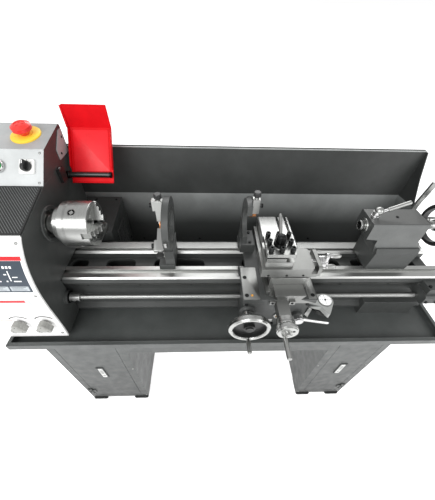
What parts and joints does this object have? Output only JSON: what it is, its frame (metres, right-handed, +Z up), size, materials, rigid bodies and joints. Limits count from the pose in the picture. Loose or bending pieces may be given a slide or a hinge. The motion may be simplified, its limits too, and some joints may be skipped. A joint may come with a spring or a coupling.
{
  "type": "metal lathe",
  "caption": "Bench lathe on a cabinet stand: belt-driven headstock with scroll chuck, bed, geared carriage with cross and compound slides, rests and tailstock.",
  "frame": {"origin": "on the floor, at the centre of the stand's outer four floor bolts", "axes": "+X along the bed from headstock to tailstock, +Y away from the operator, +Z up"},
  "size_m": [1.244, 0.504, 1.0454],
  "materials": {
    "casting_paint": "satin charcoal paint on cast iron",
    "stand_paint": "satin mid-grey powder coat on sheet",
    "guard_sheet": "satin dark grey powder coat on sheet",
    "fascia_paint": "gloss white paint",
    "box_paint": "satin light grey paint",
    "guard_red": "gloss red paint",
    "bed_iron": "painted casting with ground ways",
    "slide_iron": "ground cast iron",
    "machined_steel": "turned and ground steel",
    "chrome": "polished",
    "black_steel": "black oxide",
    "bearing_steel": "ground bearing steel",
    "bronze": "bronze-tipped steel",
    "black_plastic": "black moulded plastic",
    "grey_plastic": "dark grey moulded plastic with bright caps",
    "red_plastic": "glossy red moulded plastic",
    "green_plastic": "glossy green moulded plastic",
    "yellow_fittings": "yellow and grey switch fittings",
    "rubber": "ribbed black rubber"
  },
  "bodies": {
    "frame": {"left_cabinet": "stand_paint", "right_cabinet": "stand_paint", "stand_feet": "rubber", "stand_apron": "stand_paint", "chip_tray": "stand_paint", "splash_guard": "guard_sheet", "bed": "bed_iron", "front_fascia": "fascia_paint", "headstock_casting": "casting_paint", "top_mat": "rubber", "control_box": "box_paint", "switch_fittings": "yellow_fittings", "spindle_bearings": "bearing_steel", "drive_belt": "rubber", "motor": "casting_paint", "motor_cover": "casting_paint", "leadscrew_bracket": "casting_paint"},
    "left_door": {"left_door": "stand_paint"},
    "right_door": {"right_door": "stand_paint"},
    "belt_cover": {"belt_cover": "casting_paint"},
    "spindle": {"spindle": "machined_steel", "chuck_body": "machined_steel"},
    "jaw_1": {"jaw_1": "machined_steel"},
    "jaw_2": {"jaw_2": "machined_steel"},
    "jaw_3": {"jaw_3": "machined_steel"},
    "motor_pulley": {"motor_pulley": "machined_steel"},
    "idler_gear": {"idler_gear": "machined_steel"},
    "leadscrew": {"leadscrew": "machined_steel"},
    "carriage": {"saddle": "slide_iron", "apron": "casting_paint", "follow_rest": "casting_paint"},
    "carriage_handwheel": {"carriage_handwheel": "chrome"},
    "thread_dial": {"thread_dial": "machined_steel"},
    "half_nut_lever": {"half_nut_lever": "chrome"},
    "cross_slide": {"cross_slide": "slide_iron"},
    "cross_handwheel": {"cross_handwheel": "chrome"},
    "compound": {"compound_base": "slide_iron"},
    "top_slide": {"top_slide": "slide_iron"},
    "top_slide_crank": {"top_slide_crank": "chrome"},
    "toolpost": {"toolpost": "machined_steel", "toolpost_bolts": "black_steel"},
    "toolpost_lever": {"toolpost_lever": "black_steel"},
    "follow_finger_1": {"follow_finger_1": "bronze"},
    "follow_finger_2": {"follow_finger_2": "bronze"},
    "steady": {"steady_rest": "casting_paint"},
    "steady_finger_1": {"steady_finger_1": "bronze"},
    "steady_finger_2": {"steady_finger_2": "bronze"},
    "steady_finger_3": {"steady_finger_3": "bronze"},
    "tailstock": {"tailstock": "casting_paint"},
    "quill": {"quill": "machined_steel"},
    "tailstock_handwheel": {"tailstock_handwheel": "chrome"},
    "quill_lock_lever": {"quill_lock_lever": "chrome"},
    "tailstock_clamp_lever": {"tailstock_clamp_lever": "black_steel"},
    "guard": {"chuck_guard": "guard_red", "guard_rod": "machined_steel"},
    "estop_button": {"estop_button": "red_plastic"},
    "start_button": {"start_button": "green_plastic"},
    "direction_knob": {"direction_knob": "black_plastic"},
    "selector_knob_1": {"selector_knob_1": "grey_plastic"},
    "selector_knob_2": {"selector_knob_2": "grey_plastic"}
  },
  "joints": [
    {"name": "left_door_hinge", "type": "hinge", "parent": "frame", "child": "left_door", "pos_m": [-0.504, -0.1514, 0.306], "axis": [0, 0, -1], "range_deg": [0, 110]},
    {"name": "right_door_hinge", "type": "hinge", "parent": "frame", "child": "right_door", "pos_m": [0.503, -0.1514, 0.306], "axis": [0, 0, 1], "range_deg": [0, 110]},
    {"name": "belt_cover_hinge", "type": "hinge", "parent": "frame", "child": "belt_cover", "pos_m": [-0.5715, 0.183, 0.7], "axis": [0, 0, -1], "range_deg": [0, 110]},
    {"name": "spindle_turn", "type": "hinge", "parent": "frame", "child": "spindle", "pos_m": [-0.4795, -0.04, 0.865], "axis": [1, 0, 0], "continuous": true},
    {"name": "jaw_1_travel", "type": "slide", "parent": "spindle", "child": "jaw_1", "axis": [0, -0.9945, 0.1045], "range_m": [-0.003, 0.012]},
    {"name": "jaw_2_travel", "type": "slide", "parent": "spindle", "child": "jaw_2", "axis": [0, 0.5878, 0.809], "range_m": [-0.0031, 0.0121]},
    {"name": "jaw_3_travel", "type": "slide", "parent": "spindle", "child": "jaw_3", "axis": [0, 0.4067, -0.9135], "range_m": [-0.0031, 0.0121]},
    {"name": "motor_pulley_turn", "type": "hinge", "parent": "frame", "child": "motor_pulley", "pos_m": [-0.5955, 0.108, 0.69], "axis": [1, 0, 0], "continuous": true},
    {"name": "idler_gear_turn", "type": "hinge", "parent": "frame", "child": "idler_gear", "pos_m": [-0.6275, -0.0918, 0.78656], "axis": [1, 0, 0], "continuous": true},
    {"name": "leadscrew_turn", "type": "hinge", "parent": "frame", "child": "leadscrew", "pos_m": [-0.0475, -0.117, 0.696], "axis": [1, 0, 0], "continuous": true},
    {"name": "carriage_travel", "type": "slide", "parent": "frame", "child": "carriage", "axis": [1, 0, 0], "range_m": [-0.15, 0.15]},
    {"name": "carriage_handwheel_turn", "type": "hinge", "parent": "carriage", "child": "carriage_handwheel", "pos_m": [0.0455, -0.19, 0.712], "axis": [0, 1, 0], "range_deg": [-1080, 1080]},
    {"name": "thread_dial_turn", "type": "hinge", "parent": "carriage", "child": "thread_dial", "pos_m": [0.2345, -0.149, 0.71], "axis": [0, 0, 1], "range_deg": [-350, 350]},
    {"name": "half_nut_lever_turn", "type": "hinge", "parent": "carriage", "child": "half_nut_lever", "pos_m": [0.1655, -0.17, 0.698], "axis": [0, 1, 0], "range_deg": [0, 25]},
    {"name": "cross_handwheel_turn", "type": "hinge", "parent": "carriage", "child": "cross_handwheel", "pos_m": [0.1155, -0.23, 0.753], "axis": [0, 1, 0], "range_deg": [-5430, 10830]},
    {"name": "cross_slide_travel", "type": "slide", "parent": "carriage", "child": "cross_slide", "axis": [0, 1, 0], "range_m": [-0.03, 0.06]},
    {"name": "compound_swivel", "type": "hinge", "parent": "cross_slide", "child": "compound", "pos_m": [0.1025, -0.111, 0.804], "axis": [0, 0, 1], "range_deg": [-45, 45]},
    {"name": "top_slide_crank_turn", "type": "hinge", "parent": "compound", "child": "top_slide_crank", "pos_m": [0.2025, -0.114, 0.821], "axis": [-1, 0, 0], "range_deg": [-930, 8130]},
    {"name": "top_slide_travel", "type": "slide", "parent": "compound", "child": "top_slide", "axis": [1, 0, 0], "range_m": [-0.045, 0.005]},
    {"name": "toolpost_index", "type": "hinge", "parent": "top_slide", "child": "toolpost", "pos_m": [0.1025, -0.111, 0.85], "axis": [0, 0, 1], "continuous": true},
    {"name": "toolpost_lever_turn", "type": "hinge", "parent": "top_slide", "child": "toolpost_lever", "pos_m": [0.1025, -0.111, 0.874], "axis": [0, 0, 1], "range_deg": [-60, 60]},
    {"name": "follow_finger_1_travel", "type": "slide", "parent": "carriage", "child": "follow_finger_1", "axis": [0, 0, 1], "range_m": [-0.006, 0.008]},
    {"name": "follow_finger_2_travel", "type": "slide", "parent": "carriage", "child": "follow_finger_2", "axis": [0, 0.9848, 0.1736], "range_m": [-0.006, 0.008]},
    {"name": "steady_travel", "type": "slide", "parent": "frame", "child": "steady", "axis": [1, 0, 0], "range_m": [-0.08, 0.1]},
    {"name": "steady_finger_1_travel", "type": "slide", "parent": "steady", "child": "steady_finger_1", "axis": [0, 0, 1], "range_m": [0, 0.014]},
    {"name": "steady_finger_2_travel", "type": "slide", "parent": "steady", "child": "steady_finger_2", "axis": [0, -0.866, -0.5], "range_m": [0, 0.014]},
    {"name": "steady_finger_3_travel", "type": "slide", "parent": "steady", "child": "steady_finger_3", "axis": [0, 0.866, -0.5], "range_m": [0, 0.014]},
    {"name": "tailstock_travel", "type": "slide", "parent": "frame", "child": "tailstock", "axis": [1, 0, 0], "range_m": [-0.14, 0.085]},
    {"name": "tailstock_handwheel_turn", "type": "hinge", "parent": "tailstock", "child": "tailstock_handwheel", "pos_m": [0.4885, -0.04, 0.865], "axis": [-1, 0, 0], "range_deg": [0, 10800]},
    {"name": "quill_travel", "type": "slide", "parent": "tailstock", "child": "quill", "axis": [-1, 0, 0], "range_m": [-0.0001, 0.0601]},
    {"name": "quill_lock_lever_turn", "type": "hinge", "parent": "tailstock", "child": "quill_lock_lever", "pos_m": [0.3265, -0.043, 0.9], "axis": [0, 0, 1], "range_deg": [-60, 60]},
    {"name": "tailstock_clamp_lever_turn", "type": "hinge", "parent": "tailstock", "child": "tailstock_clamp_lever", "pos_m": [0.4425, 0.005, 0.798], "axis": [0, -1, 0], "range_deg": [0, 30]},
    {"name": "guard_swing", "type": "hinge", "parent": "frame", "child": "guard", "pos_m": [-0.3375, 0.0974, 0.9077], "axis": [1, 0, 0], "range_deg": [0, 110]},
    {"name": "estop_push", "type": "slide", "parent": "frame", "child": "estop_button", "axis": [0, 0.2102, -0.9776], "range_m": [0, 0.004]},
    {"name": "start_push", "type": "slide", "parent": "frame", "child": "start_button", "axis": [0, 0.7006, -0.7136], "range_m": [0, 0.004]},
    {"name": "direction_knob_turn", "type": "hinge", "parent": "frame", "child": "direction_knob", "pos_m": [-0.4243, 0.02154, 0.96602], "axis": [0, -0.7006, 0.7136], "range_deg": [-45, 45]},
    {"name": "selector_1_turn", "type": "hinge", "parent": "frame", "child": "selector_knob_1", "pos_m": [-0.4775, -0.18, 0.684], "axis": [0, -1, 0], "range_deg": [-60, 60]},
    {"name": "selector_2_turn", "type": "hinge", "parent": "frame", "child": "selector_knob_2", "pos_m": [-0.4205, -0.18, 0.684], "axis": [0, -1, 0], "range_deg": [-60, 60]}
  ],
  "couplings": [
    {"joint": "jaw_2_travel", "follows": "jaw_1_travel", "ratio": 1},
    {"joint": "jaw_3_travel", "follows": "jaw_1_travel", "ratio": 1},
    {"joint": "motor_pulley_turn", "follows": "spindle_turn", "ratio": 1.8571},
    {"joint": "idler_gear_turn", "follows": "spindle_turn", "ratio": -0.46875},
    {"joint": "leadscrew_turn", "follows": "spindle_turn", "ratio": 1},
    {"joint": "carriage_handwheel_turn", "follows": "carriage_travel", "rad_per_m": -125},
    {"joint": "thread_dial_turn", "follows": "carriage_travel", "rad_per_m": 40},
    {"joint": "cross_handwheel_turn", "follows": "cross_slide_travel", "rad_per_m": 3141.6},
    {"joint": "top_slide_crank_turn", "follows": "top_slide_travel", "rad_per_m": -3141.6},
    {"joint": "quill_travel", "follows": "tailstock_handwheel_turn", "m_per_rad": 0.00031831}
  ]
}
